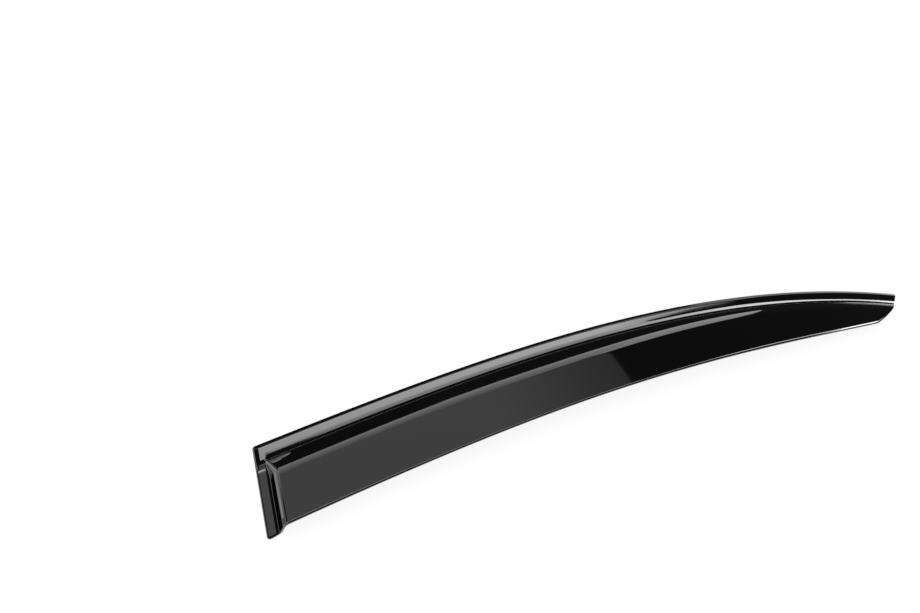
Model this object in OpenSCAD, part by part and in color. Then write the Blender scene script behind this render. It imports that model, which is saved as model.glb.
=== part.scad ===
// Window rain deflector for a rear side door, stuck to the window frame with foam tape.
// It lies on its back: X runs along the door from the square end to the point,
// Y runs up the door and Z runs away from the glass.
// The origin is under the middle of the part, on the plane that it rests on.

/* [Outline] */
// Straight distance from the square end to the point, along the upper edge
chord = 742; // [660:2:820]
// Rise of the upper edge above that straight line
edge_rise = 40.2; // [25:0.1:55]
// How far the top of the rise lies towards the point
edge_skew = 0.215; // [0:0.005:0.35]
// Lift of the upper edge off the ground, from the belly of the door
bow = 8; // [0:0.5:12]
// Depth of the deflector at its square end
blade_depth = 76.3; // [65:0.1:90]
// How much shallower the deflector would be at the point
depth_loss = 38.3; // [20:0.1:42]
// Power of the curve by which the depth falls
depth_power = 3.9; // [2:0.1:4.5]
// Length over which the lower edge rounds up to the flange at the point
point_length = 36; // [25:1:70]
// Squareness of that rounding, where 2 is an ellipse
point_power = 1.55; // [1.2:0.05:2.6]
// Angle of the cut across the flange at the point
point_cut = 45; // [20:1:50]

/* [Section] */
// Thickness of the moulded sheet
wall = 2.7; // [2:0.1:3.5]
// Width of the flange that takes the tape, up to the groove
flange_w = 14; // [12:0.1:16]
// Lean of the flange, which follows the top of the window frame
flange_lean = 0.5; // [0:0.5:10]
// Width of the chamfer on the edge of the flange
rim_w = 3.8; // [3:0.1:4]
// Width of the lip along the flange, which turns down to the groove
lip_w = 3.2; // [1.5:0.1:4]
// Width of the lip at the point
lip_w_point = 1.8; // [1.5:0.1:4]
// Tilt of the lip
lip_tilt = 5.5; // [0:0.5:8]
// Width of the groove between the lip and the ledge
groove_w = 3; // [2:0.1:3.5]
// Depth of the groove below the lip
groove_depth = 1; // [0.2:0.1:1]
// Width of the fine ledge on the foot of the shoulder
ledge_w = 1.2; // [1:0.1:2.5]
// Height of the ledge at the point; along the middle it fades away
ledge_h = 0.05; // [0:0.05:0.6]
// Slope of the shoulder that lifts the blade off the flange
shoulder_slope = 28.5; // [20:0.5:40]
// Width of the shoulder at the square end
shoulder_w = 14; // [10:0.1:18]
// Width of the shoulder at the point
shoulder_w_point = 4; // [3:0.1:8]
// Length over which the shoulder bends into the face of the blade
bend_w = 8; // [4:0.5:10]
// Slope of the face at the square end
face_slope = 9.5; // [4:0.5:12]
// Slope of the face at the point
face_slope_point = 5; // [0:0.5:8]
// Height of the crown across the face
face_crown = 0.3; // [0:0.1:2]
// Radius on the outer corner of the lower edge
lower_edge_r = 1.4; // [0.4:0.1:1.5]
// Width of the rounding of the lower edge towards the point
lower_edge_w_point = 2.4; // [1.5:0.1:3]

/* [Square end] */
// Width of the end flange, up to the foot of the riser
end_flange_w = 7.8; // [6.4:0.1:9]
// How far the end flange reaches below the blade
end_drop = 1.4; // [0:0.1:5]
// Distance over which the riser climbs from the end flange to the blade
riser_w = 8.8; // [8:0.1:11]
// The same distance at the foot of the shoulder, where there is little to climb
riser_w_top = 2.6; // [2:0.1:4]
// Length over which the corners of the riser are eased
riser_ease = 0.6; // [0.4:0.1:1]
// Width of the bead that stiffens the end of the blade
bead_w = 2.4; // [1.5:0.1:4]
// Height of that bead
bead_h = 0.45; // [0.2:0.05:1]
// Width of the notch between the two flanges
notch_w = 7; // [4:0.1:8]
// Depth of that notch
notch_depth = 1; // [0.3:0.1:1.2]
// Width of the rounding on the edge of the end flange
end_rim_w = 1.4; // [0.8:0.1:1.8]
// Width of the rounding on the end of the top flange
corner_rim_w = 5; // [2:0.1:6]
// Radius of the two corners of the square end, seen from above
corner_r = 3; // [1:0.5:5]

/* [Tape] */
// Thickness of the foam tape
foam_t = 0.9; // [0.6:0.1:1.5]
// Thickness of the release liner on the tape
liner_t = 0.2; // [0.1:0.05:0.3]
// Distance from the edge of a flange to its tape
tape_inset = 1.2; // [0.8:0.1:2]
// Width of the tape under the top flange
top_tape_w = 10; // [6:0.5:10.5]
// Width of the tape under the end flange
end_tape_w = 4.6; // [3:0.1:5]
// How far the liners stand past the tape as a tab to pull
liner_tab = 0.8; // [0:0.1:1]

/* [Hidden] */

// heights of the undersides, from the ground up
foam_z = liner_t;
flange_z = liner_t + foam_t;
lean = tan(flange_lean);
// lines across the section, as distances from the upper edge
groove_s = flange_w + groove_w/2;
ledge_s = flange_w + groove_w + ledge_w/2;
shoulder_s = flange_w + groove_w + ledge_w;
end_flange_s = shoulder_s + notch_w/2;
flange_end_s = shoulder_s - notch_w/2;
// where the riser has its full width, a little before the shoulder bends into the face
mitre_s = shoulder_s + shoulder_w - bend_w/4;
// lines along the square end, as distances from its edge
riser_top_u = end_flange_w + riser_w;
bead_u = riser_top_u + bead_w/8;
body_u = bead_u + bead_w/2;
// parts of the length where the section flattens towards the point
flatten_from = 0.35;
flatten_to = 0.85;
face_flatten_from = 0.25;
face_flatten_to = 0.7;
// where the lip narrows, the ledge rises and the rounding of the lower edge widens
lip_from = 0.7;
lip_to = 0.9;
ledge_from = 0.75;
ledge_to = 0.95;
lower_edge_from = 0.45;
lower_edge_to = 0.75;
// half of the step over which the slope of the upper edge is taken
half_step = 0.5;
// factor that makes t*t*(1 - t) reach 1 at its top
hump = 27/4;
// most that the bend may spread over, as a share of a narrow shoulder
bend_share = 1.6;
// the cut at the point turns the ribs of the sheet late, so this power is high
cut_power = 8;
// most of the wall that the chamfer of the rim, the groove and the notch take away together
rim_share = 0.9;
// lengths over which the corners of the chamfer, the lip and the foot of the shoulder are eased
rim_ease = 0.8;
lip_ease = 1.5;
edge_ease = lip_ease/4;
foot_ease = 0.3;
// the riser starts with a faint slope, climbs steeply and ends in a bevel: shares of its width
// and of its height
riser_foot = 0.27;
riser_foot_rise = 0.012;
riser_top = 0.32;
riser_top_rise = 0.18;
riser_steep_rise = 1 - riser_foot_rise - riser_top_rise;
// how far the inner faces of the bend, the foot of the shoulder and the riser lie behind the outer ones
shoulder_shift = wall*tan(shoulder_slope/2);
foot_shift = shoulder_shift + (groove_depth + lip_w*tan(lip_tilt))/tan(shoulder_slope);
riser_h = shoulder_w*tan(shoulder_slope) + blade_depth*tan(face_slope)/2;
riser_angle = atan(riser_h*riser_steep_rise/(riser_w*(1 - riser_foot - riser_top)));
riser_shift = wall*tan(riser_angle/2);

function mix(a, b, f) = a + (b - a)*f;
function ease(x) = let (c = min(1, max(0, x))) c*c*(3 - 2*c);
// a corner at x = 0 from level to a slope of 1, eased over the length r
function corner(x, r) = x <= -r/2 ? 0 : x >= r/2 ? x : pow(x + r/2, 2)/(2*r);
function bump(x) = abs(x) >= 1 ? 0 : pow(1 - x*x, 2);
// how far a quarter round of width w and height h lies below its top, at distance d from the edge
function round_off(d, w, h) = d >= w ? 0 : h*(1 - sqrt(1 - pow(1 - max(0, d)/w, 2)));

// upper edge seen from above, and its slope
function edge_y(u) = let (t = u/chord) 4*edge_rise*t*(1 - t)*(1 + edge_skew*(2*t - 1));
function edge_turn(u) = atan((edge_y(u + half_step) - edge_y(u - half_step))/(2*half_step));
// lift of the section off the ground: none under the square end, which stays flat
function lift(u) = let (t = max(0, (u - body_u)/(chord - body_u))) hump*bow*t*t*(1 - t);
// depth of the deflector along one rib, from the upper edge to the lower one
function full_depth(u) = blade_depth - depth_loss*pow(u/chord, depth_power);
function depth(u) = let (
    k = max(0, (u - (chord - point_length))/point_length),
    left = pow(1 - pow(min(1, k), point_power), 1/point_power),
    drop = end_drop*(1 - ease((u - end_flange_w/2)/(body_u - end_flange_w/2))))
    mix(shoulder_s, full_depth(u), left) + drop;

// section of the body at u: shoulder, bend and crowned face; the shifts move the bend and the foot
// of the shoulder for the inner side
function shoulder_width(u) =
    mix(shoulder_w, shoulder_w_point, ease((u/chord - flatten_from)/(flatten_to - flatten_from)));
function bend_length(u) = min(bend_w, bend_share*shoulder_width(u));
function face_tan(u) = mix(tan(face_slope), tan(face_slope_point),
    ease((u/chord - face_flatten_from)/(face_flatten_to - face_flatten_from)));
function lip_start(u) =
    flange_w - mix(lip_w, lip_w_point, ease((u/chord - lip_from)/(lip_to - lip_from)));
function ledge_height(u) = ledge_h*ease((u/chord - ledge_from)/(ledge_to - ledge_from));
function lower_edge_width(u) = mix(lower_edge_r, lower_edge_w_point,
    ease((u/chord - lower_edge_from)/(lower_edge_to - lower_edge_from)));
function body_rise(u, s, bend_by, foot_by) = let (
    foot = groove_s + foot_by,
    bend = shoulder_s + bend_by + shoulder_width(u),
    ease_bend = bend_length(u),
    x = max(0, min(1, (s - bend)/(full_depth(u) - bend))))
    tan(shoulder_slope)*(corner(s - foot, foot_ease) - corner(s - bend, ease_bend))
    + face_tan(u)*corner(s - bend, ease_bend) + 4*face_crown*x*(1 - x);
// height of the flanges: the top one leans, the end one is level
function flange_rise(u, s) = let (
    top = (s - tape_inset)*lean,
    level = ease((s - flange_end_s)/(end_flange_s - flange_end_s)),
    end_zone = 1 - riser(u, s, 0))
    top*(1 - level*end_zone) - (s > shoulder_s ? (s - shoulder_s)*lean*(1 - end_zone) : 0);
// width of the riser: it grows with the height of the shoulder, so its top runs aslant there
function riser_width(s) =
    mix(riser_w_top, riser_w, min(1, max(0, (s - ledge_s)/(mitre_s - ledge_s))));
// a climb of 1 between a and b, with eased corners
function ramp(x, a, b, r) = (corner(x - a, r) - corner(x - b, r))/(b - a);
// share of the climb up the riser; du moves its steep part and its bevel for the inner side
function riser(u, s, du) = let (
    w = riser_width(s),
    r = min(riser_ease, w*riser_foot/2),
    x = u - end_flange_w,
    foot = w*riser_foot,
    bevel = w*(1 - riser_top))
    riser_foot_rise*ramp(x, 0, foot, r) + riser_steep_rise*ramp(x - du, foot, bevel, r)
    + riser_top_rise*ramp(x - du, bevel, w, r);
// distance inside the line that the bead follows: up the end, aslant over the shoulder, then the ledge
function inside_bead(u, s) = let (
    across = riser_w - riser_w_top,
    along = mitre_s - ledge_s,
    aslant = ((u - bead_u + across)*along - (s - ledge_s)*across)/norm([along, across]))
    min(s - ledge_s, max(u - bead_u, aslant));

function outer_z(u, s) = let (
    low = depth(u),
    d = inside_bead(u, s),
    f = ease((u - bead_u)/(mitre_s - ledge_s)),
    bead = mix(bead_h, ledge_height(u), f)*bump(2*d/mix(bead_w, ledge_w, f)),
    climb = riser(u, s, 0),
    lip = tan(lip_tilt)*(corner(s - lip_start(u), lip_ease) - corner(s - flange_w, edge_ease)),
    side = groove_depth*(corner(s - flange_w, edge_ease) - corner(s - groove_s, foot_ease))/(groove_w/2),
    groove = (lip + side)*climb,
    notch = notch_depth*bump(2*(s - shoulder_s)/notch_w)*(1 - climb),
    end_w = mix(corner_rim_w, end_rim_w, ease((s - flange_w)/(end_flange_s - flange_w))),
    chamfer = rim_share*wall/rim_w*corner(rim_w - s, rim_ease),
    rim = max(chamfer, round_off(u, end_w, rim_share*wall)),
    lower = round_off(low - s, lower_edge_width(u), lower_edge_r))
    flange_z + wall + flange_rise(u, s) + body_rise(u, s, 0, 0)*climb + bead
    - min(rim_share*wall, groove + notch + max(rim, lower));
function inner_z(u, s) =
    flange_z + flange_rise(u, s) + body_rise(u, s, shoulder_shift, foot_shift)*riser(u, s, riser_shift);

// direction and stretch of the rib at u, and a point on it
function rib_turn(u) = point_cut*pow(u/chord, cut_power);
function rib_stretch(u) = 1/cos(rib_turn(u) + edge_turn(u));
function on_rib(u, s, z) = let (a = rib_turn(u), d = s*rib_stretch(u))
    [u - d*sin(a), edge_y(u) - d*cos(a), z + lift(u)];

// ribs of the sheet: close together at the rim, the riser, the bead and the point
rim_ribs = concat([for (f = [0, 0.1, 0.35, 0.7, 1]) f*end_rim_w],
    [for (f = [0.3, 0.65, 1]) mix(end_rim_w, corner_rim_w, f)]);
riser_steps = 19;
riser_ribs = [for (i = [0 : riser_steps])
    mix(end_flange_w - riser_ease/2, body_u, i/riser_steps)];
body_from = body_u + 2*bead_w;
// a rib of the riser or the bead leans with them where their line runs aslant over the shoulder
function lean_in(u, s) = let (back = riser_w - riser_width(s))
    u <= end_flange_w || u >= body_from ? u
    : u <= riser_top_u ? u - back*(u - end_flange_w)/riser_w
    : u <= body_u ? u - back
    : u - back*(body_from - u)/(body_from - body_u);
body_to = chord - point_length;
body_steps = 44;
body_ribs = [for (i = [0 : body_steps]) mix(body_from, body_to, i/body_steps)];
point_steps = 9;
point_ribs = [for (i = [1 : point_steps]) chord - point_length*(1 - sin(90*i/point_steps))];
ribs = concat(rim_ribs, riser_ribs, body_ribs, point_ribs);

// the points of one rib, as distances from the upper edge
function flange_rows(u) = concat([0], [for (f = [-0.5, 0, 0.5]) rim_w + f*rim_ease], [flange_w/2],
    [for (f = [-0.5, 0, 0.5]) lip_start(u) + f*lip_ease], [for (f = [-0.5, 0.5]) flange_w + f*edge_ease]);
foot_rows = [for (f = [-0.5, 0, 0.5]) groove_s + f*foot_ease];
function body_rows(u) = let (
    bend = shoulder_s + shoulder_width(u),
    b = bend_length(u)/2,
    edge = lower_edge_width(u))
    concat([flange_w + groove_w, ledge_s, shoulder_s],
        [for (f = [0.08, 0.35, 0.7, 1]) mix(shoulder_s, bend - b, f)],
        [for (f = [-0.5, 0, 0.5, 1]) bend + f*b],
        [for (f = [0.2, 0.4, 0.6, 0.8]) mix(bend + b, full_depth(u) - edge, f)],
        [for (f = [1, 0.3, 0]) full_depth(u) - f*edge]);
// near the point the rows close up, so that the sheet narrows without being cut
function squeeze(u, s) = let (from = groove_s + foot_ease/2)
    from + (s - from)*(depth(u) - from)/(full_depth(u) - from);
// at the square end the ribs start late and end early, which rounds the two corners
function shorten(u, s) = let (
    low = depth(u),
    cut = u >= corner_r ? 0 : corner_r - sqrt(pow(corner_r, 2) - pow(corner_r - u, 2)))
    cut + s*(low - 2*cut)/low;
function rows(u) = [for (s = concat(flange_rows(u), foot_rows, [for (r = body_rows(u)) squeeze(u, r)]))
    shorten(u, s)];

// the middle of the part seen from above, which the origin lies under
far_y = max([for (u = ribs) edge_y(u)]);
near_y = min([for (u = ribs) on_rib(u, max(rows(u)), 0)[1]]);
middle = [chord/2, (far_y + near_y)/2, 0];

// closes a grid of rib points, with an upper and a lower face, into one solid
module sheet(upper, lower) {
    n = len(upper);
    m = len(upper[0]);
    points = concat([for (r = upper) each r], [for (r = lower) each r]);
    function up(i, j) = i*m + j;
    function down(i, j) = n*m + i*m + j;
    faces = concat(
        [for (i = [0 : n - 2], j = [0 : m - 2]) each [
            [up(i, j), up(i, j + 1), up(i + 1, j + 1)], [up(i, j), up(i + 1, j + 1), up(i + 1, j)],
            [down(i, j), down(i + 1, j + 1), down(i, j + 1)],
            [down(i, j), down(i + 1, j), down(i + 1, j + 1)]]],
        [for (i = [0 : n - 2]) each [
            [up(i, 0), up(i + 1, 0), down(i + 1, 0)], [up(i, 0), down(i + 1, 0), down(i, 0)],
            [up(i + 1, m - 1), up(i, m - 1), down(i, m - 1)],
            [up(i + 1, m - 1), down(i, m - 1), down(i + 1, m - 1)]]],
        [for (j = [0 : m - 2]) each [
            [up(0, j + 1), up(0, j), down(0, j)], [up(0, j + 1), down(0, j), down(0, j + 1)],
            [up(n - 1, j), up(n - 1, j + 1), down(n - 1, j + 1)],
            [up(n - 1, j), down(n - 1, j + 1), down(n - 1, j)]]]);
    translate(-middle) polyhedron(points, [for (f = faces) [f[0], f[2], f[1]]], convexity = 6);
}

// a strip under the top flange, between two heights below it; it stops inside the cut at the point
tape_end = 0.35;
top_strip_from = rim_w;
top_strip_to = chord - tape_end*point_length;
module top_strip(from_u, to_u, from_s, to_s, upper_gap, lower_gap) {
    strip_ribs = concat([from_u],
        [for (u = ribs) if (u > from_u + half_step && u < to_u - half_step) u], [to_u]);
    function strip(gap) = [for (u = strip_ribs) [for (s = [from_s, to_s])
        on_rib(u, s, inner_z(u, s) - gap)]];
    sheet(strip(upper_gap), strip(lower_gap));
}

// a level strip under the end flange
end_strip_from = -end_flange_s - tape_inset;
end_strip_to = edge_y(end_flange_w) - depth(0) + corner_r;
module end_strip(extra, z, t) {
    translate(-middle + [tape_inset, end_strip_to - extra, z])
        cube([end_tape_w, end_strip_from - end_strip_to + extra, t]);
}

module deflector_shell() {
    color([0.03, 0.03, 0.035]) sheet(
        [for (q = ribs) [for (s = rows(q)) let (u = lean_in(q, s)) on_rib(u, s, outer_z(u, s))]],
        [for (q = ribs) [for (s = rows(q)) let (u = lean_in(q, s)) on_rib(u, s, inner_z(u, s))]]);
}

module top_foam_tape() {
    color([0.16, 0.16, 0.17])
        top_strip(top_strip_from, top_strip_to, tape_inset, tape_inset + top_tape_w, 0, foam_t);
}

module top_tape_liner() {
    color([0.72, 0.06, 0.07])
        top_strip(top_strip_from - liner_tab, top_strip_to, tape_inset, tape_inset + top_tape_w,
            foam_t, foam_t + liner_t);
}

module end_foam_tape() {
    color([0.16, 0.16, 0.17]) end_strip(0, foam_z, foam_t);
}

module end_tape_liner() {
    color([0.72, 0.06, 0.07]) end_strip(liner_tab, 0, liner_t);
}

deflector_shell();
top_foam_tape();
end_foam_tape();
top_tape_liner();
end_tape_liner();
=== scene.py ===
# %% [markdown]
# This lesson dresses a window rain deflector: one moulded sheet of dark gloss acrylic that is
# stuck to the frame of a rear side window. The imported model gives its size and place, and each
# step below adds what that model is too coarse for: a smooth sheet, tape, liners and finishes.

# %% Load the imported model
import math

import bpy
import numpy as np
from mathutils import Matrix, Vector


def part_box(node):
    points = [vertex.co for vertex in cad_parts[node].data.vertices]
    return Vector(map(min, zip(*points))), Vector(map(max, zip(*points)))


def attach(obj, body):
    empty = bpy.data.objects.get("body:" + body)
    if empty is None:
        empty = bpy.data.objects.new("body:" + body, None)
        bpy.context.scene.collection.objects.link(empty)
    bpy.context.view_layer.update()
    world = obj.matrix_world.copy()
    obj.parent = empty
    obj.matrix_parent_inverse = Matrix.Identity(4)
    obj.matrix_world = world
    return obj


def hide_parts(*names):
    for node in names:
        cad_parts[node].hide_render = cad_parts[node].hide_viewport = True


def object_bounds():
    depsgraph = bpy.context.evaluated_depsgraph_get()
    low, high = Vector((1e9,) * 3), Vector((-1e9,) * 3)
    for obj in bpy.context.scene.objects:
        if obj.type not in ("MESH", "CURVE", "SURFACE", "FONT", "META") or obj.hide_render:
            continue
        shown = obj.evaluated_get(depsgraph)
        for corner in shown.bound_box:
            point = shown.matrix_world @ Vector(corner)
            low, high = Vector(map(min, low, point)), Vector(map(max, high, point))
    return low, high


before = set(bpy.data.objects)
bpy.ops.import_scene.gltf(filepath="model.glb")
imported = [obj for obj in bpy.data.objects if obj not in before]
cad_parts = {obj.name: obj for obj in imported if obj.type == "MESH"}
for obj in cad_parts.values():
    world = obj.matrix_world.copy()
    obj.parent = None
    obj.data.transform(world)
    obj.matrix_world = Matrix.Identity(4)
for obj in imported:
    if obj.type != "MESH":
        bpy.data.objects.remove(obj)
cad_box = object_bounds()
print("CAD box in mm", [[round(v*1000, 1) for v in corner] for corner in cad_box])
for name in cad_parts:
    low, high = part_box(name)
    print(name, "from", [round(v*1000, 1) for v in low], "to", [round(v*1000, 1) for v in high])

# %% [markdown]
# The camera comes first, because everything is seen through it as in the photograph. The
# photograph looks down on the deflector from above its square end, turned a little to the right
# and tilted a little clockwise. Three turns, one after the other, are easier to read and to
# change than a matrix of nine numbers: heading, then how far it looks down, then roll.

# %% Camera
CAMERA_PLACE = (-0.3425, -0.1737, 0.5476)
HEADING, LOOK_DOWN, ROLL = 33.57, 57.72, 18.37
camera_data = bpy.data.cameras.new("photo_camera")
camera_data.sensor_width = 36
camera_data.lens = 24.81
camera_data.clip_start = 0.01
camera_data.dof.use_dof = False
camera = bpy.data.objects.new("photo_camera", camera_data)
bpy.context.collection.objects.link(camera)
heading, look_down, roll = (math.radians(a) for a in (HEADING, LOOK_DOWN, ROLL))
turn = (Matrix.Rotation(-heading, 4, "Z") @ Matrix.Rotation(math.pi/2 - look_down, 4, "X")
        @ Matrix.Rotation(roll, 4, "Z"))
camera.matrix_world = Matrix.Translation(CAMERA_PLACE) @ turn
bpy.context.scene.camera = camera
print("camera stands", round(camera.location.z, 3), "m above the table")

# %% [markdown]
# The deflector is a bent sheet, so the handiest way to describe it is a height over a curved
# strip: u runs along the upper edge from the square end to the point, and s runs across it, down
# the car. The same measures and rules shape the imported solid, here with many more points, so that
# reflections run smoothly over it. The lengths are in millimetres, and MM turns them into metres.

# %% Measures of the moulding
MM = 0.001
CHORD, EDGE_RISE, EDGE_SKEW, BOW = 742.0, 40.2, 0.215, 8.0
BLADE_DEPTH, DEPTH_LOSS, DEPTH_POWER = 76.3, 38.3, 3.9
POINT_LENGTH, POINT_POWER, POINT_CUT, CUT_POWER = 36.0, 1.55, 45.0, 8.0
WALL, FLANGE_W, FLANGE_LEAN, RIM_W = 2.7, 14.0, 0.5, 3.8
GROOVE_W, GROOVE_DEPTH, LEDGE_W, LEDGE_H = 3.0, 1.0, 1.2, 0.05
LIP_W, LIP_W_POINT, LIP_TILT, LIP_EASE, FOOT_EASE, RIM_EASE = 3.2, 1.8, 5.5, 1.5, 0.3, 0.8
SHOULDER_SLOPE, SHOULDER_W, SHOULDER_W_POINT, BEND_W, BEND_SHARE = 28.5, 14.0, 4.0, 8.0, 1.6
FACE_SLOPE, FACE_SLOPE_POINT, FACE_CROWN = 9.5, 5.0, 0.3
LOWER_EDGE_R, LOWER_EDGE_W_POINT = 1.4, 2.4
END_FLANGE_W, END_DROP, RISER_W, RISER_W_TOP, RISER_EASE = 7.8, 1.4, 8.8, 2.6, 0.6
RISER_FOOT, RISER_FOOT_RISE, RISER_TOP, RISER_TOP_RISE = 0.27, 0.012, 0.32, 0.18
BEAD_W, BEAD_H, BEAD_GAP, NOTCH_W, NOTCH_DEPTH = 2.4, 0.45, 0.3, 7.0, 1.0
END_RIM_W, CORNER_RIM_W, CORNER_R, RIM_SHARE = 1.4, 5.0, 3.0, 0.9
FOAM_T, LINER_T, TAPE_INSET, TOP_TAPE_W, LINER_TAB = 0.9, 0.2, 1.2, 10.0, 0.8
print("sheet", WALL, "mm thick on a tape of", FOAM_T, "mm")


# %% Lines that follow from the measures
def slope(angle):
    return math.tan(math.radians(angle))


FLANGE_Z = LINER_T + FOAM_T
GROOVE_S = FLANGE_W + GROOVE_W/2
LEDGE_S = FLANGE_W + GROOVE_W + LEDGE_W/2
SHOULDER_S = FLANGE_W + GROOVE_W + LEDGE_W
END_FLANGE_S, FLANGE_END_S = SHOULDER_S + NOTCH_W/2, SHOULDER_S - NOTCH_W/2
MITRE_S = SHOULDER_S + SHOULDER_W - BEND_W/4
RISER_TOP_U = END_FLANGE_W + RISER_W
BEAD_U = RISER_TOP_U + BEAD_GAP
BODY_U = BEAD_U + BEAD_W/2
BODY_FROM = BODY_U + 2*BEAD_W
SHOULDER_SHIFT = WALL*slope(SHOULDER_SLOPE/2)
GROOVE_CUT = GROOVE_DEPTH + slope(LIP_TILT)*LIP_W
FOOT_SHIFT = SHOULDER_SHIFT + GROOVE_CUT/slope(SHOULDER_SLOPE)
BODY_H = SHOULDER_W*slope(SHOULDER_SLOPE) + BLADE_DEPTH*slope(FACE_SLOPE)/2
STEEP_RISE = 1 - RISER_FOOT_RISE - RISER_TOP_RISE
RISER_ANGLE = math.degrees(math.atan(BODY_H*STEEP_RISE/(RISER_W*(1 - RISER_FOOT - RISER_TOP))))
RISER_SHIFT = WALL*slope(RISER_ANGLE/2)
print("riser stands at", round(RISER_ANGLE, 1), "degrees")

# %% [markdown]
# Small rules that the rest is made of. An eased corner is a bend in a sheet: a straight line
# that turns into another one over a short length. A bump is a bead or, upside down, a groove.


# %% Curves for bends, beads and rounded edges
def mix(a, b, f):
    return a + (b - a)*f


def ease(x):
    c = np.clip(x, 0, 1)
    return c*c*(3 - 2*c)


def corner(x, r):
    return np.where(x <= -r/2, 0, np.where(x >= r/2, x, (x + r/2)**2/(2*r)))


def bump(x):
    return np.where(abs(x) >= 1, 0, (1 - x*x)**2)


def round_off(d, w, h):
    return np.where(d >= w, 0, h*(1 - np.sqrt(1 - np.clip(1 - np.maximum(0, d)/w, 0, 1)**2)))


print("a bend of", BEND_W, "mm lifts its middle by", float(corner(np.array(0.0), BEND_W)), "mm")

# %% [markdown]
# Seen from above, the upper edge is a skewed arc and the blade gets shallower towards the point,
# where its lower edge curves up to meet the flange. The whole part also bows away from the glass,
# as the door does: the factor of 27/4 makes BOW the height of that bow's highest place.

# %% Outline seen from above
HALF_STEP, BOW_FACTOR = 0.5, 27/4


def edge_y(u):
    t = u/CHORD
    return 4*EDGE_RISE*t*(1 - t)*(1 + EDGE_SKEW*(2*t - 1))


def edge_turn(u):
    return np.arctan(edge_y(u + HALF_STEP) - edge_y(u - HALF_STEP))


def lift(u):
    t = np.maximum(0, (u - BODY_U)/(CHORD - BODY_U))
    return BOW_FACTOR*BOW*t*t*(1 - t)


def full_depth(u):
    return BLADE_DEPTH - DEPTH_LOSS*(u/CHORD)**DEPTH_POWER


def depth(u):
    k = np.clip((u - (CHORD - POINT_LENGTH))/POINT_LENGTH, 0, 1)
    left = (1 - k**POINT_POWER)**(1/POINT_POWER)
    drop = END_DROP*(1 - ease((u - END_FLANGE_W/2)/(BODY_U - END_FLANGE_W/2)))
    return mix(SHOULDER_S, full_depth(u), left) + drop


print("depth at the square end", float(depth(np.array(0.0))), "mm")

# %% [markdown]
# From the upper edge down, the section has a chamfered rim, the flange, a lip that tilts down to
# a groove, then the shoulder, a bend, the slightly crowned face and a rounded lower edge. Towards
# the point the lip and the shoulder get narrower, the face lies flatter, the rounding of the
# lower edge gets wider and a thin ledge comes up beside the groove. Each of these changes has a
# pair: at which share of the length it starts, and over which share it runs.

# %% Measures that change along the length
SHOULDER_FADE, FACE_FADE, LOWER_EDGE_FADE = (0.35, 0.5), (0.25, 0.45), (0.45, 0.3)
LIP_FADE, LEDGE_FADE = (0.7, 0.2), (0.75, 0.2)


def along(u, fade):
    start, length = fade
    return ease((u/CHORD - start)/length)


def shoulder_width(u):
    return mix(SHOULDER_W, SHOULDER_W_POINT, along(u, SHOULDER_FADE))


def bend_length(u):
    return np.minimum(BEND_W, BEND_SHARE*shoulder_width(u))


def lower_edge_width(u):
    return mix(LOWER_EDGE_R, LOWER_EDGE_W_POINT, along(u, LOWER_EDGE_FADE))


def lip_start(u):
    return FLANGE_W - mix(LIP_W, LIP_W_POINT, along(u, LIP_FADE))


def ledge_height(u):
    return LEDGE_H*along(u, LEDGE_FADE)


def face_slope(u):
    return mix(slope(FACE_SLOPE), slope(FACE_SLOPE_POINT), along(u, FACE_FADE))


for share in (0, 0.5, 1):
    print("at", share, "of the length the shoulder is",
          round(float(shoulder_width(share*CHORD)), 1), "mm wide")


# %% Rise of the body, the riser and the flange
def body_rise(u, s, bend_shift, foot_shift):
    foot = GROOVE_S + foot_shift
    bend = SHOULDER_S + bend_shift + shoulder_width(u)
    eased = bend_length(u)
    x = np.clip((s - bend)/(full_depth(u) - bend), 0, 1)
    return (slope(SHOULDER_SLOPE)*(corner(s - foot, FOOT_EASE) - corner(s - bend, eased))
            + face_slope(u)*corner(s - bend, eased) + 4*FACE_CROWN*x*(1 - x))


def riser_width(s):
    return mix(RISER_W_TOP, RISER_W, np.clip((s - LEDGE_S)/(MITRE_S - LEDGE_S), 0, 1))


def riser(u, s, shift):
    w = riser_width(s)
    r = np.minimum(RISER_EASE, w*RISER_FOOT/2)
    foot_w, top_w = w*RISER_FOOT, w*RISER_TOP
    x = u - END_FLANGE_W
    y = x - shift
    foot = (corner(x, r) - corner(x - foot_w, r))/foot_w
    steep = (corner(y - foot_w, r) - corner(y - w + top_w, r))/(w - foot_w - top_w)
    top = (corner(y - w + top_w, r) - corner(y - w, r))/top_w
    return RISER_FOOT_RISE*foot + STEEP_RISE*steep + RISER_TOP_RISE*top


def flange_rise(u, s):
    top = (s - TAPE_INSET)*slope(FLANGE_LEAN)
    level = ease((s - FLANGE_END_S)/(END_FLANGE_S - FLANGE_END_S))
    end_zone = 1 - riser(u, s, 0)
    past = np.where(s > SHOULDER_S, (s - SHOULDER_S)*slope(FLANGE_LEAN)*(1 - end_zone), 0)
    return top*(1 - level*end_zone) - past


print("riser is", float(riser_width(np.array(MITRE_S))), "mm wide at the bend")

# %% [markdown]
# The bead that stiffens the square end runs up beside the riser, turns aslant over the shoulder
# and carries on as the thin ledge along the flange. One distance to that line gives all three,
# so they flow into each other as they do in a mould.


# %% Heights of the two faces of the sheet
def inside_bead(u, s):
    across, back = RISER_W - RISER_W_TOP, MITRE_S - LEDGE_S
    aslant = ((u - BEAD_U + across)*back - (s - LEDGE_S)*across)/math.hypot(across, back)
    return np.minimum(s - LEDGE_S, np.maximum(u - BEAD_U, aslant))


def groove_and_lip(u, s):
    end = corner(s - FLANGE_W, LIP_EASE/4)
    lip = slope(LIP_TILT)*(corner(s - lip_start(u), LIP_EASE) - end)
    return lip + GROOVE_DEPTH*(end - corner(s - GROOVE_S, FOOT_EASE))/(GROOVE_S - FLANGE_W)


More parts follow.
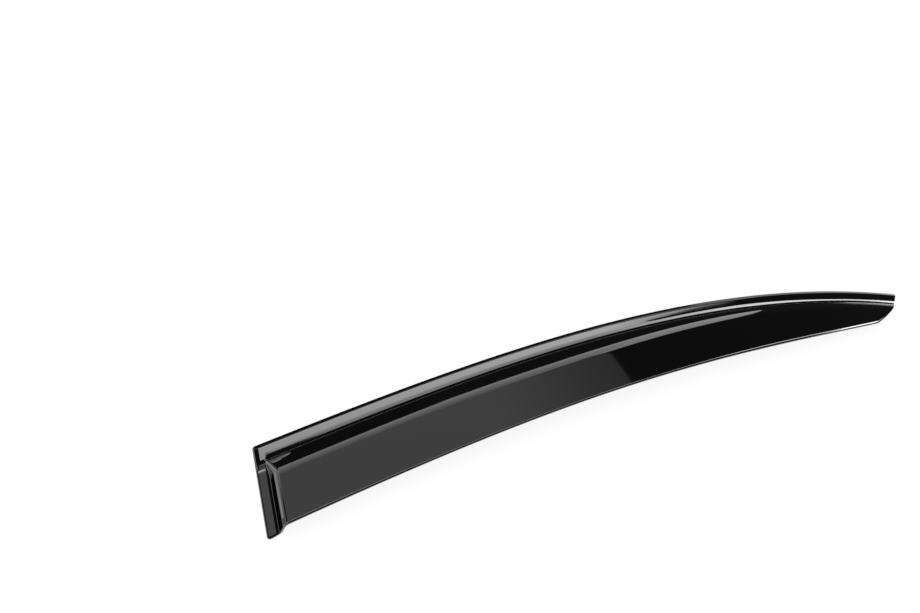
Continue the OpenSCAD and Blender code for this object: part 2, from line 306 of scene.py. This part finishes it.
def outer_z(u, s):
    f = ease((u - BEAD_U)/(MITRE_S - LEDGE_S))
    bead = mix(BEAD_H, ledge_height(u), f)*bump(2*inside_bead(u, s)/mix(BEAD_W, LEDGE_W, f))
    climb = riser(u, s, 0)
    notch = NOTCH_DEPTH*bump(2*(s - SHOULDER_S)/NOTCH_W)*(1 - climb)
    end_rim_w = mix(CORNER_RIM_W, END_RIM_W, ease((s - FLANGE_W)/(END_FLANGE_S - FLANGE_W)))
    chamfer = RIM_SHARE*WALL/RIM_W*corner(RIM_W - s, RIM_EASE)
    rim = np.maximum(chamfer, round_off(u, end_rim_w, RIM_SHARE*WALL))
    lower = round_off(depth(u) - s, lower_edge_width(u), LOWER_EDGE_R)
    cut = groove_and_lip(u, s)*climb + notch + np.maximum(rim, lower)
    return (FLANGE_Z + WALL + flange_rise(u, s) + body_rise(u, s, 0, 0)*climb + bead
            - np.minimum(RIM_SHARE*WALL, cut))


def inner_z(u, s):
    body = body_rise(u, s, SHOULDER_SHIFT, FOOT_SHIFT)*riser(u, s, RISER_SHIFT)
    return FLANGE_Z + flange_rise(u, s) + body


print("outer face at the middle of the sheet, before the bow:",
      round(float(outer_z(CHORD/2, BLADE_DEPTH/2)), 1), "mm up")


# %% From the strip to the part's own frame
def on_rib(u, s, z):
    a = np.radians(POINT_CUT*(u/CHORD)**CUT_POWER)
    d = s/np.cos(a + edge_turn(u))
    return np.stack([u - d*np.sin(a), edge_y(u) - d*np.cos(a), z + lift(u)], -1)


EDGE_SAMPLES = 2001
far_y = float(edge_y(np.linspace(0, CHORD, EDGE_SAMPLES)).max())
half_depth = (cad_box[1][1] - cad_box[0][1])/MM/2
MIDDLE = np.array([CHORD/2, far_y - half_depth, 0])
print("origin lies at", MIDDLE.round(2), "mm from the square end's upper corner")


def in_metres(points):
    return (points - MIDDLE)*MM


# %% [markdown]
# The sheet becomes a grid of ribs and rows. Rows crowd where the section turns: at the rim, the
# groove, the ledge, the bend and the lower edge. Ribs crowd at the square end and at the point.
# Each band of the grid is written as where it ends and how many lines it holds.

# %% Rows of the fine grid
FIRST_ROW, EDGE_GAP, EDGE_ROWS = 0.2, 0.15, 10


def spread(a, b, n):
    return [a + (b - a)*i/n for i in range(1, n + 1)]


def bands(start, *ends):
    lines = []
    for end, count in ends:
        lines += spread(start, end, count)
        start = end
    return lines


def rows_at(u):
    bend, half = SHOULDER_S + float(shoulder_width(u)), float(bend_length(u))/2
    full, edge = float(full_depth(u)), float(lower_edge_width(u))
    lip = float(lip_start(u)) - LIP_EASE/2
    start = GROOVE_S - FOOT_EASE/2
    rows = [0, FIRST_ROW] + bands(
        FIRST_ROW, (RIM_W - RIM_EASE, 5), (RIM_W + RIM_EASE/2, 7), (lip, 6),
        (FLANGE_W - LIP_EASE/8, 8), (start, 6))
    body = bands(
        start, (GROOVE_S + FOOT_EASE/2, 5), (LEDGE_S + LEDGE_W/2, 14), (bend - half, 5),
        (bend + half, 12), (full - edge - EDGE_GAP, 16)) + [full - edge]
    body += [full - edge*(1 - math.sin(math.pi/2*i/EDGE_ROWS)) for i in range(1, EDGE_ROWS + 1)]
    squeezed = [start + (s - start)*(float(depth(u)) - start)/(full - start) for s in body]
    return rows + squeezed


def rounded_corner(u, rows):
    low = rows[-1]
    cut = 0 if u >= CORNER_R else CORNER_R - math.sqrt(CORNER_R**2 - (CORNER_R - u)**2)
    return [cut + s*(low - 2*cut)/low for s in rows]


print(len(rows_at(CHORD/2)), "rows across each face")

# %% Ribs of the fine grid
RIM_RIBS, POINT_RIBS = 8, 44


def lean_in(u, s):
    back = RISER_W - riser_width(s)
    if u <= END_FLANGE_W or u >= BODY_FROM:
        return u + 0*s
    if u <= RISER_TOP_U:
        return u - back*(u - END_FLANGE_W)/RISER_W
    if u <= BODY_U:
        return u - back
    return u - back*(BODY_FROM - u)/(BODY_FROM - BODY_U)


ribs = [END_RIM_W*(1 - math.cos(math.pi/2*i/RIM_RIBS)) for i in range(RIM_RIBS + 1)]
ribs += bands(
    END_RIM_W, (CORNER_RIM_W, 8), (END_FLANGE_W - RISER_EASE/2, 3), (BODY_U, 90),
    (BODY_FROM, 8), (CHORD - POINT_LENGTH, 190))
ribs += [CHORD - POINT_LENGTH*(1 - math.sin(math.pi/2*i/POINT_RIBS))
         for i in range(1, POINT_RIBS + 1)]
print(len(ribs), "ribs along the sheet")

# %% [markdown]
# Each rib is a closed loop: over the outer face, round the lower edge, back along the inner face
# and up the upper edge. Joining each loop to the next one makes a watertight skin, and the two
# ends are closed with strips between the outer and the inner row.

# %% Helpers for a skin
SHARP_ANGLE = 40


def new_mesh(name, points, faces):
    mesh = bpy.data.meshes.new(name)
    mesh.from_pydata([tuple(p) for p in points], [], faces)
    mesh.update()
    mesh.shade_smooth()
    mesh.set_sharp_from_angle(angle=math.radians(SHARP_ANGLE))
    piece = bpy.data.objects.new(name, mesh)
    bpy.context.collection.objects.link(piece)
    triangles = sum(len(p.vertices) - 2 for p in mesh.polygons)
    print(name, len(mesh.vertices), "points", triangles, "triangles")
    return piece


def joined(n, m):
    return [(i*m + j, i*m + (j + 1) % m, (i + 1)*m + (j + 1) % m, (i + 1)*m + j)
            for i in range(n - 1) for j in range(m)]


def capped(n, m):
    return joined(n, m) + [tuple(range(m))[::-1], tuple(range((n - 1)*m, n*m))]


print("two rings of three points join in", len(joined(2, 3)), "faces")


# %% The moulded sheet as a mesh
def skin(loops):
    n, m = len(loops), len(loops[0])
    faces = joined(n, m)
    for base, flip in ((0, 1), ((n - 1)*m, -1)):
        for j in range(m//2 - 1):
            quad = (base + j, base + m - 1 - j, base + m - 2 - j, base + j + 1)
            faces.append(quad[::flip])
    return np.concatenate(loops), faces


loops = []
for q in ribs:
    s = np.array(rounded_corner(q, rows_at(q)))
    u = lean_in(q, s)
    upper, lower = on_rib(u, s, outer_z(u, s)), on_rib(u, s, inner_z(u, s))
    loops.append(in_metres(np.concatenate([upper, lower[::-1]])))
points, faces = skin(loops)
shell = new_mesh("moulded_shell", points, faces)
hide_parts("deflector_shell")
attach(shell, "root")

# %% [markdown]
# Foam tape is die cut from a roll. Its sides bulge a little where they were cut and pressed, and
# its ends are rounded. The strip follows the flange, so it is lofted from small closed sections.
# The liner is the same strip without the bulge, and its tab stands a little past the foam.

# %% Tape and liner under the flange
FOAM_SWELL, FLAT = 0.12, 0.0
TAPE_STATIONS, TAPE_STOP, FIRST_STATION = 240, 0.35, 0.3
END_SHARE, END_LENGTH = 0.55, 2.5


def strip_section(from_s, to_s, top, bottom, swell):
    half = (top - bottom)/2
    return [(from_s, top), (to_s, top), (to_s + swell, top - half), (to_s, bottom),
            (from_s, bottom), (from_s - swell, bottom + half)]


def rounded_end(to_end):
    return min(1.0, END_SHARE + (1 - END_SHARE)*math.sqrt(max(0.0, to_end)/END_LENGTH))


def strip_along_flange(name, from_u, to_u, top, bottom, swell):
    stations = [u for u in spread(from_u, to_u, TAPE_STATIONS) if u > from_u + 2*FIRST_STATION]
    mid = TAPE_INSET + TOP_TAPE_W/2
    loops = []
    for u in [from_u, from_u + FIRST_STATION] + stations:
        half_w = TOP_TAPE_W/2*rounded_end(min(u - from_u, to_u - u))
        ring = strip_section(mid - half_w + swell, mid + half_w - swell, top, bottom, swell)
        s = np.array([p[0] for p in ring])
        z = inner_z(np.full(len(ring), u), s) + np.array([p[1] for p in ring])
        loops.append(in_metres(on_rib(np.full(len(ring), u), s, z)))
    return new_mesh(name, np.concatenate(loops), capped(len(loops), len(loops[0])))


tape_to = CHORD - TAPE_STOP*POINT_LENGTH
top_foam = strip_along_flange("top_foam_strip", RIM_W, tape_to, 0, -FOAM_T, FOAM_SWELL)
top_liner = strip_along_flange(
    "top_liner_strip", RIM_W - LINER_TAB, tape_to, -FOAM_T, -FOAM_T - LINER_T, FLAT)
for piece, node, finish in ((top_foam, "top_foam_tape", "foam_tape"),
                            (top_liner, "top_tape_liner", "release_liner")):
    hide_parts(node)
    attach(piece, "root")

# %% Tape and liner under the end flange
FOAM_CORNER_R, LINER_CORNER_R = 0.8, 1.0
CORNER_POINTS, CORNER_STEP = 7, 15


def strip_under_end(name, node, radius, swell):
    low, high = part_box(node)
    mid = (low + high)/2
    half = (high - low)/2
    r = radius*MM
    rings = []
    for z, inset in ((low.z, 0.0), ((low.z + high.z)/2, -swell*MM), (high.z, 0.0)):
        ring = []
        for cx, cy, start in ((1, 1, 0), (-1, 1, 90), (-1, -1, 180), (1, -1, 270)):
            for k in range(CORNER_POINTS):
                a = math.radians(start + CORNER_STEP*k)
                ring.append((mid.x + cx*(half.x - swell*MM - r) + (r - inset)*math.cos(a),
                             mid.y + cy*(half.y - swell*MM - r) + (r - inset)*math.sin(a), z))
        rings.append(np.array(ring))
    return new_mesh(name, np.concatenate(rings), capped(len(rings), len(rings[0])))


end_foam = strip_under_end("end_foam_strip", "end_foam_tape", FOAM_CORNER_R, FOAM_SWELL)
end_liner = strip_under_end("end_liner_strip", "end_tape_liner", LINER_CORNER_R, FLAT)
for piece, node, finish in ((end_foam, "end_foam_tape", "foam_tape"),
                            (end_liner, "end_tape_liner", "release_liner")):
    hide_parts(node)
    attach(piece, "root")

# %% [markdown]
# Finishes start from groups that several of them share. Fine speckle is what every real surface
# has when it is looked at closely: dust on the acrylic, cells in the foam, grain in the film. It
# is noise that is cut off at a level. The more is to be covered, the lower that level lies, and a
# share below nought leaves only the rarest specks.


# %% Shared group: fine speckle
def socket(group, name, kind, out=False, value=None):
    made = group.interface.new_socket(
        name, in_out="OUTPUT" if out else "INPUT", socket_type=kind)
    if value is not None:
        made.default_value = value
    return made


SPECK_LEVEL, SPECK_DETAIL, MM_PER_M = 0.72, 3, 1000
speckle = bpy.data.node_groups.new("fine_speckle", "ShaderNodeTree")
for name, value in (("Size in mm", 1.0), ("Share covered", 0.05), ("Softness", 0.05)):
    socket(speckle, name, "NodeSocketFloat", value=value)
socket(speckle, "Mask", "NodeSocketFloat", out=True)
nodes, links = speckle.nodes, speckle.links
inside, outside = nodes.new("NodeGroupInput"), nodes.new("NodeGroupOutput")
where = nodes.new("ShaderNodeTexCoord")
per_mm = nodes.new("ShaderNodeMath")
per_mm.operation = "DIVIDE"
per_mm.inputs[0].default_value = MM_PER_M
noise = nodes.new("ShaderNodeTexNoise")
noise.inputs["Detail"].default_value = SPECK_DETAIL
limit = nodes.new("ShaderNodeMapRange")
limit.interpolation_type = "SMOOTHSTEP"
low_limit, high_limit = nodes.new("ShaderNodeMath"), nodes.new("ShaderNodeMath")
low_limit.operation, high_limit.operation = "SUBTRACT", "ADD"
low_limit.inputs[0].default_value = SPECK_LEVEL
links.new(inside.outputs["Size in mm"], per_mm.inputs[1])
links.new(where.outputs["Object"], noise.inputs["Vector"])
links.new(per_mm.outputs[0], noise.inputs["Scale"])
links.new(noise.outputs["Fac"], limit.inputs["Value"])
links.new(inside.outputs["Share covered"], low_limit.inputs[1])
links.new(low_limit.outputs[0], high_limit.inputs[0])
links.new(inside.outputs["Softness"], high_limit.inputs[1])
links.new(low_limit.outputs[0], limit.inputs["From Min"])
links.new(high_limit.outputs[0], limit.inputs["From Max"])
links.new(limit.outputs["Result"], outside.inputs["Mask"])
takes = [i.name for i in speckle.interface.items_tree if i.in_out == "INPUT"]
print("group", speckle.name, "takes", takes)


# %% Helpers for a finish
def new_material(name):
    material = bpy.data.materials.new(name)
    material.use_nodes = True
    shader = material.node_tree.nodes["Principled BSDF"]
    return material, material.node_tree.nodes, material.node_tree.links, shader


def place_speckle(nodes, size, share, softness):
    node = nodes.new("ShaderNodeGroup")
    node.node_tree = speckle
    node.inputs["Size in mm"].default_value = size
    node.inputs["Share covered"].default_value = share
    node.inputs["Softness"].default_value = softness
    return node.outputs["Mask"]


def on_object(nodes, links, texture, **values):
    for name, value in values.items():
        texture.inputs[name].default_value = value
    place = nodes.new("ShaderNodeTexCoord")
    links.new(place.outputs["Object"], texture.inputs["Vector"])
    return texture


def two_colours(nodes, links, mask, first, second):
    ramp = nodes.new("ShaderNodeMix")
    ramp.data_type = "RGBA"
    ramp.inputs["A"].default_value = (*first, 1)
    ramp.inputs["B"].default_value = (*second, 1)
    links.new(mask, ramp.inputs["Factor"])
    return ramp.outputs["Result"]


def two_values(nodes, links, mask, first, second):
    blend = nodes.new("ShaderNodeMapRange")
    blend.inputs["To Min"].default_value = first
    blend.inputs["To Max"].default_value = second
    links.new(mask, blend.inputs["Value"])
    return blend.outputs["Result"]


def bumps(nodes, links, height, shader, strength, distance_mm):
    bump_node = nodes.new("ShaderNodeBump")
    bump_node.inputs["Strength"].default_value = strength
    bump_node.inputs["Distance"].default_value = distance_mm*MM
    links.new(height, bump_node.inputs["Height"])
    links.new(bump_node.outputs["Normal"], shader.inputs["Normal"])


print("a finish is a mask, two colours, two roughnesses and a bump")

# %% [markdown]
# Gloss acrylic is black because light that enters it is soaked up. What the eye sees is the
# room in its skin, so the finish is a nearly black base, a low roughness and the index of acrylic,
# 1.49. Two things keep it from looking like computer glass: specks of dust, and a very slight
# ripple left by the mould and by cooling.

# %% Smoked acrylic
acrylic, nodes, links, shader = new_material("smoked_acrylic")
shader.inputs["IOR"].default_value = 1.49
dust = place_speckle(nodes, size=0.55, share=-0.045, softness=0.03)
colour = two_colours(nodes, links, dust, first=(0.0012, 0.0012, 0.0014), second=(0.02, 0.02, 0.022))
links.new(colour, shader.inputs["Base Color"])
gloss = two_values(nodes, links, dust, first=0.035, second=0.3)
links.new(gloss, shader.inputs["Roughness"])
ripple = on_object(nodes, links, nodes.new("ShaderNodeTexNoise"), Scale=45, Detail=1)
bumps(nodes, links, ripple.outputs["Fac"], shader, strength=0.25, distance_mm=0.02)
shell.data.materials.append(acrylic)
print("acrylic index", shader.inputs["IOR"].default_value)

# %% [markdown]
# Closed-cell foam is matt and full of tiny cut cells. A Voronoi pattern gives the cells, and
# the shared speckle darkens some of them.

# %% Foam tape
CELLS_PER_M = 4500
foam, nodes, links, shader = new_material("foam_tape")
cells = on_object(nodes, links, nodes.new("ShaderNodeTexVoronoi"), Scale=CELLS_PER_M)
deep = place_speckle(nodes, size=1.6, share=0.15, softness=0.2)
colour = two_colours(nodes, links, deep, first=(0.028, 0.028, 0.031), second=(0.012, 0.012, 0.014))
links.new(colour, shader.inputs["Base Color"])
matt_skin = two_values(nodes, links, cells.outputs["Distance"], first=0.8, second=0.95)
links.new(matt_skin, shader.inputs["Roughness"])
bumps(nodes, links, cells.outputs["Distance"], shader, strength=0.6, distance_mm=0.08)
for piece in (top_foam, end_foam):
    piece.data.materials.append(foam)
print("foam cells about", round(MM_PER_M/CELLS_PER_M, 2), "mm across")

# %% [markdown]
# The release liner is a thin film with a satin skin. Red film is slightly uneven in colour, and
# it wrinkles where it was wound on the roll.

# %% Release liner
liner, nodes, links, shader = new_material("release_liner")
patches = place_speckle(nodes, size=9, share=0.25, softness=0.25)
colour = two_colours(nodes, links, patches, first=(0.5, 0.02, 0.025), second=(0.42, 0.013, 0.018))
links.new(colour, shader.inputs["Base Color"])
satin = two_values(nodes, links, patches, first=0.32, second=0.42)
links.new(satin, shader.inputs["Roughness"])
wrinkles = on_object(nodes, links, nodes.new("ShaderNodeTexWave"), Scale=60, Distortion=6)
bumps(nodes, links, wrinkles.outputs["Fac"], shader, strength=0.3, distance_mm=0.05)
for piece in (top_liner, end_liner):
    piece.data.materials.append(liner)
print("liner finish on", [p.name for p in (top_liner, end_liner)])

# %% [markdown]
# The stage is a pale table in a white room. The table shows white to the camera and in
# reflections, and its diffuse part still takes the soft shadow under the deflector. Both the
# table and the room ask the Light Path node which rays come to them, so one helper does it.


# %% Which rays see the table and the room
def seen_directly(nodes, links):
    rays = nodes.new("ShaderNodeLightPath")
    first, both = nodes.new("ShaderNodeMath"), nodes.new("ShaderNodeMath")
    first.operation = both.operation = "MAXIMUM"
    links.new(rays.outputs["Is Camera Ray"], first.inputs[0])
    links.new(rays.outputs["Is Glossy Ray"], first.inputs[1])
    links.new(first.outputs[0], both.inputs[0])
    links.new(rays.outputs["Is Transmission Ray"], both.inputs[1])
    return both.outputs[0]


print("camera, glossy and transmission rays see the stage as it is")

# %% Floor
FLOOR_HALF, TABLE_GREY, TABLE_LEVEL = 12, 0.15, 0.87
floor_mesh = bpy.data.meshes.new("pale_floor")
floor_corners = [(x*FLOOR_HALF, y*FLOOR_HALF, 0) for x, y in ((-1, -1), (1, -1), (1, 1), (-1, 1))]
floor_mesh.from_pydata(floor_corners, [], [(0, 1, 2, 3)])
floor = bpy.data.objects.new("pale_floor", floor_mesh)
bpy.context.collection.objects.link(floor)
table, nodes, links, shader = new_material("pale_table")
nodes.remove(shader)
matt = nodes.new("ShaderNodeBsdfDiffuse")
matt.inputs["Color"].default_value = (TABLE_GREY, TABLE_GREY, TABLE_GREY, 1)
glow = nodes.new("ShaderNodeEmission")
level = nodes.new("ShaderNodeMath")
level.operation = "MULTIPLY"
level.inputs[1].default_value = TABLE_LEVEL
links.new(seen_directly(nodes, links), level.inputs[0])
links.new(level.outputs[0], glow.inputs["Strength"])
both = nodes.new("ShaderNodeAddShader")
links.new(matt.outputs[0], both.inputs[0])
links.new(glow.outputs[0], both.inputs[1])
links.new(both.outputs[0], nodes["Material Output"].inputs["Surface"])
floor_mesh.materials.append(table)
print("floor", 2*FLOOR_HALF, "m wide")

# %% White room
ROOM_LIGHT, ROOM_WHITE = 0.75, 1.0
world = bpy.data.worlds.new("white_room")
bpy.context.scene.world = world
world.use_nodes = True
nodes, links = world.node_tree.nodes, world.node_tree.links
sky = nodes["Background"]
sky.inputs["Color"].default_value = (1, 1, 1, 1)
amount = two_values(nodes, links, seen_directly(nodes, links), first=ROOM_LIGHT, second=ROOM_WHITE)
links.new(amount, sky.inputs["Strength"])
print("world gives", ROOM_LIGHT, "to the surfaces and shows as", ROOM_WHITE)

# %% [markdown]
# A gloss black sheet is lit by what it mirrors. So the studio is built from cards that are seen
# in the gloss only. A card has four corners and gives an even light, or one that is graded from
# its first edge to its far edge. Most cards lie in one ceiling plane or stand in one wall plane,
# so their places are given as two numbers per corner.


# %% Helpers for a card
def shown_to(piece, **rays):
    for ray, shown in rays.items():
        setattr(piece, "visible_" + ray, shown)


def graded(nodes, links, low, high, power):
    uv_node = nodes.new("ShaderNodeUVMap")
    split = nodes.new("ShaderNodeSeparateXYZ")
    curve = nodes.new("ShaderNodeMath")
    curve.operation = "POWER"
    curve.inputs[1].default_value = power
    links.new(uv_node.outputs["UV"], split.inputs["Vector"])
    links.new(split.outputs["Y"], curve.inputs[0])
    return two_values(nodes, links, curve.outputs[0], low, high)


def card(name, corners, low=0.0, high=None, power=1.0):
    mesh = bpy.data.meshes.new(name)
    mesh.from_pydata([tuple(c) for c in corners], [], [(0, 1, 2, 3)])
    layer = mesh.uv_layers.new(name="card")
    for loop, uv in zip(layer.data, ((0, 0), (1, 0), (1, 1), (0, 1))):
        loop.uv = uv
    piece = bpy.data.objects.new(name, mesh)
    bpy.context.collection.objects.link(piece)
    material, nodes, links, shader = new_material(name)
    nodes.remove(shader)
    glow = nodes.new("ShaderNodeEmission")
    glow.inputs["Strength"].default_value = low
    if high is not None:
        links.new(graded(nodes, links, low, high, power), glow.inputs["Strength"])
    links.new(glow.outputs[0], nodes["Material Output"].inputs["Surface"])
    mesh.materials.append(material)
    shown_to(piece, camera=False, diffuse=False, shadow=False, transmission=False,
             volume_scatter=False)
    cards.append(name)


def level_card(name, height, spots, low=0.0, high=None, power=1.0):
    card(name, [(x, y, height) for x, y in spots], low, high, power)


def wall_card(name, back, spots, low=0.0, high=None, power=1.0):
    card(name, [(x, back, z) for x, z in spots], low, high, power)


def oblong(left, right, near, far):
    return [(left, near), (right, near), (right, far), (left, far)]


cards = []
CEILING, CEILING_BEHIND = 3.0, 3.01
print("cards hang", CEILING, "m above the table")

# %% [markdown]
# The flange mirrors a long strip overhead. The strip gets weaker towards the point in six steps
# and runs out in a thin tip. In front of it hangs a second strip, which the tilted lip mirrors on
# its left half. Two lamps to the right of that carry the lip's line on to the point, and reach the
# rounded lower edge too. The right lamp gets narrower at its far end, which keeps a blob of light
# away from the point. One more lamp lights only the lower edge near the point.

# %% Strip and lamps overhead
STRIP_FRONT, STRIP_BACK, STRIP_END = 0.93, 1.46, 1.7
STRIP_LOW, STRIP_HIGH = 5.5, 10.0
FADE_STEPS, FADE_W, FADE_LOSS = 6, 0.05, 0.045
level_card("overhead_strip", CEILING,
           [(-0.60, STRIP_FRONT), (STRIP_END, STRIP_FRONT), (STRIP_END, STRIP_BACK), (-0.60, 1.5)],
           STRIP_LOW, STRIP_HIGH)
for i in range(FADE_STEPS):
    left, share = STRIP_END + FADE_W*i, 1 - FADE_LOSS*(i + 1)
    level_card(f"strip_fade_{i}", CEILING, oblong(left, left + FADE_W, STRIP_FRONT, STRIP_BACK),
               STRIP_LOW*share, STRIP_HIGH*share)
level_card("strip_tip", CEILING,
           [(2.0, 1.328), (2.43, 1.36), (2.43, 1.42), (2.0, STRIP_BACK)], 6.2, 7.4)
level_card("strip_tip_end", CEILING,
           [(2.43, 1.36), (2.95, 1.379), (2.95, 1.385), (2.43, 1.42)], 5.8, 6.6)
level_card("strip_near_edge", CEILING, oblong(-0.40, 1.5, 0.5, STRIP_FRONT), 4.2, 5.5)
level_card("right_lamp_end", CEILING,
           [(1.5, 0.45), (1.5, STRIP_FRONT), (2.7, 0.9), (2.7, 0.35)], 5.0, 13.0)
level_card("right_lamp", CEILING, [(2.7, 0.1), (7.0, 0.1), (7.0, 0.42), (2.7, STRIP_FRONT)], 13.0)
level_card("lower_edge_lamp", CEILING, oblong(4.15, 5.8, -1.8, 0.1), 22.0)
print(len(cards), "cards so far")

# %% [markdown]
# The left half of the face mirrors a pale part of the ceiling behind the strip. It gets weaker to
# the right and stops in a slanted line, and from there on the face is black. A light at the back
# on the right reaches the bend, and a small one over the square end is for the end flange.

# %% Pale ceiling
level_card("pale_ceiling", CEILING_BEHIND, oblong(-0.8, 0.8, 1.4, 3.0), 1.2)
level_card("pale_ceiling_right", CEILING_BEHIND,
           [(0.8, 1.4), (0.8, 3.0), (1.55, 3.0), (1.6, 1.4)], 1.2, 0.68)
level_card("pale_ceiling_end", CEILING_BEHIND,
           [(1.6, 1.4), (1.55, 3.0), (1.9, 3.0), (2.02, 1.4)], 0.68, 0.5)
level_card("ceiling_light_right", CEILING, [(2.0, 2.6), (3.2, 2.6), (3.95, 3.0), (1.95, 3.0)], 3.3)
level_card("end_flange_light", CEILING_BEHIND, oblong(-0.58, -0.40, 0.5, STRIP_FRONT), 1.4)
print(len(cards), "cards so far")

# %% [markdown]
# The bend mirrors a pale wall behind the table. The wall is brightest low down, and to the right
# its top gets brighter in five steps. One more light carries the bend's line on to where it ends.
# The black cards at the wall's foot are what the shoulder and the chamfer mirror, so they keep
# both dark. A window on the left lights the riser.

# %% Pale wall and window
BACK_WALL, WALL_FOOT, WALL_TOP = 3.0, 0.85, 3.0
WALL_END, WALL_STEPS, WALL_STEP_W = 0.4, 5, 0.3
WALL_LOW, WALL_HIGH, WALL_HIGH_FIRST, WALL_HIGH_STEP, WALL_POWER = 3.4, 1.2, 1.4, 0.2, 0.7
FOOT_DARK, WINDOW_X = 0.05, -3.0
wall_card("pale_wall", BACK_WALL, oblong(-6, WALL_END, WALL_FOOT, WALL_TOP),
          WALL_LOW, WALL_HIGH, WALL_POWER)
for i in range(WALL_STEPS):
    left = WALL_END + WALL_STEP_W*i
    wall_card(f"pale_wall_{i}", BACK_WALL, oblong(left, left + WALL_STEP_W, WALL_FOOT, WALL_TOP),
              WALL_LOW, WALL_HIGH_FIRST + WALL_HIGH_STEP*i, WALL_POWER)
wall_card("wall_light_right", BACK_WALL,
          [(1.9, WALL_FOOT), (3.35, WALL_FOOT), (3.95, WALL_TOP), (1.9, WALL_TOP)], 3.3)
wall_card("dark_foot_left", 2.895, [(-6, 0.8), (0.4, 0.8), (-0.5, 0.92), (-6, 0.92)], FOOT_DARK)
wall_card("dark_foot", 2.9, oblong(-6, 6, -0.1, 0.82), FOOT_DARK)
card("left_window", [(WINDOW_X, y, z) for y, z in oblong(-2.0, 3.0, -0.1, 1.5)], 4.0)
print(len(cards), "cards so far")

# %% [markdown]
# Everything else that the gloss could mirror is black. The ceiling on the right keeps the right
# half of the face dark, the ceiling in front does so for the groove and most of the lower edge,
# and the one on the left for part of the riser. The room on the right ends the bend's line. These
# cards hang higher or stand further away than the others, so they only fill the gaps.

# %% Black cards
DARK = 0.06
level_card("dark_ceiling_front", 3.02, oblong(-2.5, 8, -9, 0.7), DARK)
level_card("dark_ceiling_left", 3.02, oblong(-6, -0.5, 0.5, 3.1), DARK)
level_card("dark_ceiling_right", 3.03, oblong(1.8, 12, 0.5, 3.1), DARK)
wall_card("dark_room_right", 3.2, oblong(3.5, 12, -0.1, 3.1), DARK)
card("dark_room_side", [(8, y, z) for y, z in oblong(3.2, -9, -0.1, 3.1)], DARK)
wall_card("dark_room_front", -7, oblong(8, -2.5, -0.1, 3.1), DARK)
print(len(cards), "cards in all")

# %% [markdown]
# One soft lamp gives the shadow on the table and the little light that the tape and the dust
# need. It is left out of the gloss, where the cards do that work.

# %% Soft key light
key_data = bpy.data.lights.new("soft_key", "AREA")
key_data.shape = "RECTANGLE"
key_data.size, key_data.size_y = 1.6, 1.2
key_data.energy = 12
key = bpy.data.objects.new("soft_key", key_data)
bpy.context.collection.objects.link(key)
key.location = (-0.6, 0.5, 1.9)
key.rotation_euler = (Vector((0, 0, 0)) - key.location).to_track_quat("-Z", "Y").to_euler()
key.visible_glossy = False
bpy.context.scene.view_settings.view_transform = "Standard"
print("key light", key_data.energy, "W")
